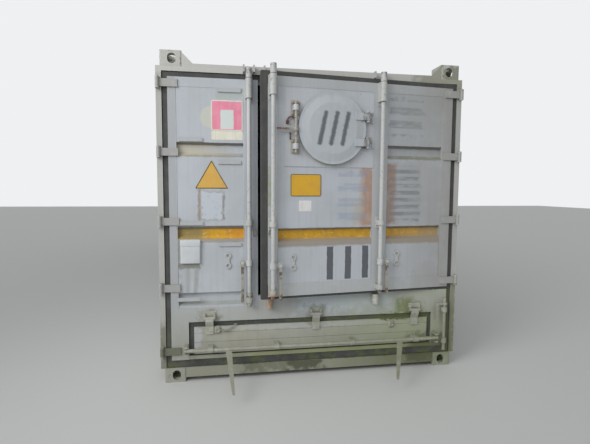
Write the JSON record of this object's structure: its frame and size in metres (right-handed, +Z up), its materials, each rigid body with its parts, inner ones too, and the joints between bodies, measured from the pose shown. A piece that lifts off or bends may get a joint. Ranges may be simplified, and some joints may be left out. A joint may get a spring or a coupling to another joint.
{
  "type": "dry bulk shipping container",
  "caption": "Thirty-foot dry bulk shipping container with an L-shaped door leaf, discharge flap, a second leaf with a round hatch, lock rods and corner castings.",
  "frame": {"origin": "on the ground under the middle of the whole object, levers included", "axes": "+Z up, door end towards -Y, +Y along the container towards its closed end, +X to the right seen from the door end"},
  "size_m": [2.5, 9.6182, 2.591],
  "materials": {
    "panel_paint": "weathered pale grey-blue enamel with algae and rust",
    "frame_paint": "weathered light grey enamel",
    "casting_paint": "painted cast steel, chipped",
    "gear_paint": "painted forgings with rust",
    "seal_rubber": "weathered dark rubber",
    "rusty_steel": "rusted",
    "floor_boards": "worn plywood boards",
    "box_plastic": "aged white plastic"
  },
  "bodies": {
    "container": {"bottom_castings": "casting_paint", "top_castings": "casting_paint", "door_posts": "frame_paint", "front_posts": "frame_paint", "door_header": "frame_paint", "door_sill": "frame_paint", "stop_lips": "frame_paint", "front_rails": "frame_paint", "side_rails": "frame_paint", "cross_members": "frame_paint", "side_walls": "panel_paint", "front_wall": "panel_paint", "roof_panel": "panel_paint", "roof_hatches": "panel_paint", "floor": "floor_boards", "hinge_lugs": "frame_paint", "header_keepers": "gear_paint"},
    "left_leaf": {"left_leaf_upright": "panel_paint", "foot_top_beam": "panel_paint", "foot_bottom_beam": "panel_paint", "foot_end_stiles": "panel_paint", "left_leaf_hinges": "panel_paint", "left_leaf_seal": "seal_rubber", "left_rod_guides": "gear_paint", "placard_strips": "gear_paint", "document_box": "box_plastic", "foot_fittings": "gear_paint"},
    "left_rod": {"left_rod": "gear_paint"},
    "left_handle": {"left_handle": "gear_paint"},
    "short_rod": {"short_rod": "gear_paint"},
    "discharge_flap": {"flap_panel": "panel_paint", "flap_seal": "seal_rubber", "flap_fittings": "gear_paint"},
    "flap_lock_bar": {"flap_lock_bar": "gear_paint"},
    "right_leaf": {"right_leaf_frame": "panel_paint", "right_leaf_sheets": "panel_paint", "right_leaf_seal": "seal_rubber", "right_leaf_hinges": "panel_paint", "right_rod_guides": "gear_paint", "hatch_collar": "panel_paint"},
    "middle_rod": {"middle_rod": "gear_paint"},
    "middle_handle": {"middle_handle": "gear_paint"},
    "right_rod": {"right_rod": "gear_paint"},
    "right_handle": {"right_handle": "gear_paint"},
    "hatch_cover": {"hatch_cover": "panel_paint"},
    "hatch_lock_bar": {"hatch_lock_bar": "rusty_steel"}
  },
  "joints": [
    {"name": "left_leaf_hinge", "type": "hinge", "parent": "container", "child": "left_leaf", "pos_m": [-1.236, -4.34194, 1.3], "axis": [0, 0, -1], "range_deg": [0, 205]},
    {"name": "right_leaf_hinge", "type": "hinge", "parent": "container", "child": "right_leaf", "pos_m": [1.236, -4.34194, 1.5], "axis": [0, 0, 1], "range_deg": [-5.9, 204.1]},
    {"name": "left_rod_turn", "type": "hinge", "parent": "left_leaf", "child": "left_rod", "pos_m": [-0.55, -4.36594, 1.5], "axis": [0, 0, 1], "range_deg": [0, 90]},
    {"name": "left_handle_lift", "type": "hinge", "parent": "left_rod", "child": "left_handle", "pos_m": [-0.606, -4.37594, 0.965], "axis": [0, 1, 0], "range_deg": [0, 90]},
    {"name": "short_rod_turn", "type": "hinge", "parent": "left_leaf", "child": "short_rod", "pos_m": [1.128, -4.36594, 0.4], "axis": [0, 0, 1], "range_deg": [0, 90]},
    {"name": "flap_hinge", "type": "hinge", "parent": "left_leaf", "child": "discharge_flap", "pos_m": [0, -4.34094, 0.52], "axis": [-1, 0, 0], "range_deg": [0, 85]},
    {"name": "flap_lock_turn", "type": "hinge", "parent": "discharge_flap", "child": "flap_lock_bar", "pos_m": [0, -4.38594, 0.277], "axis": [-1, 0, 0], "range_deg": [0, 50]},
    {"name": "middle_rod_turn", "type": "hinge", "parent": "right_leaf", "child": "middle_rod", "pos_m": [-0.37892, -4.53295, 1.5], "axis": [0, 0, -1], "range_deg": [0, 90]},
    {"name": "middle_handle_lift", "type": "hinge", "parent": "middle_rod", "child": "middle_handle", "pos_m": [-0.32219, -4.53714, 0.965], "axis": [0.1028, -0.9947, 0], "range_deg": [0, 90]},
    {"name": "right_rod_turn", "type": "hinge", "parent": "right_leaf", "child": "right_rod", "pos_m": [0.50836, -4.44126, 1.5], "axis": [0, 0, -1], "range_deg": [0, 90]},
    {"name": "right_handle_lift", "type": "hinge", "parent": "right_rod", "child": "right_handle", "pos_m": [0.56509, -4.44545, 0.965], "axis": [0.1028, -0.9947, 0], "range_deg": [0, 90]},
    {"name": "hatch_cover_hinge", "type": "hinge", "parent": "right_leaf", "child": "hatch_cover", "pos_m": [0.38409, -4.44506, 2.018], "axis": [0, 0, 1], "range_deg": [0, 120]},
    {"name": "hatch_lock_turn", "type": "hinge", "parent": "right_leaf", "child": "hatch_lock_bar", "pos_m": [-0.20378, -4.50581, 2.018], "axis": [0, 0, 1], "range_deg": [0, 90]}
  ]
}
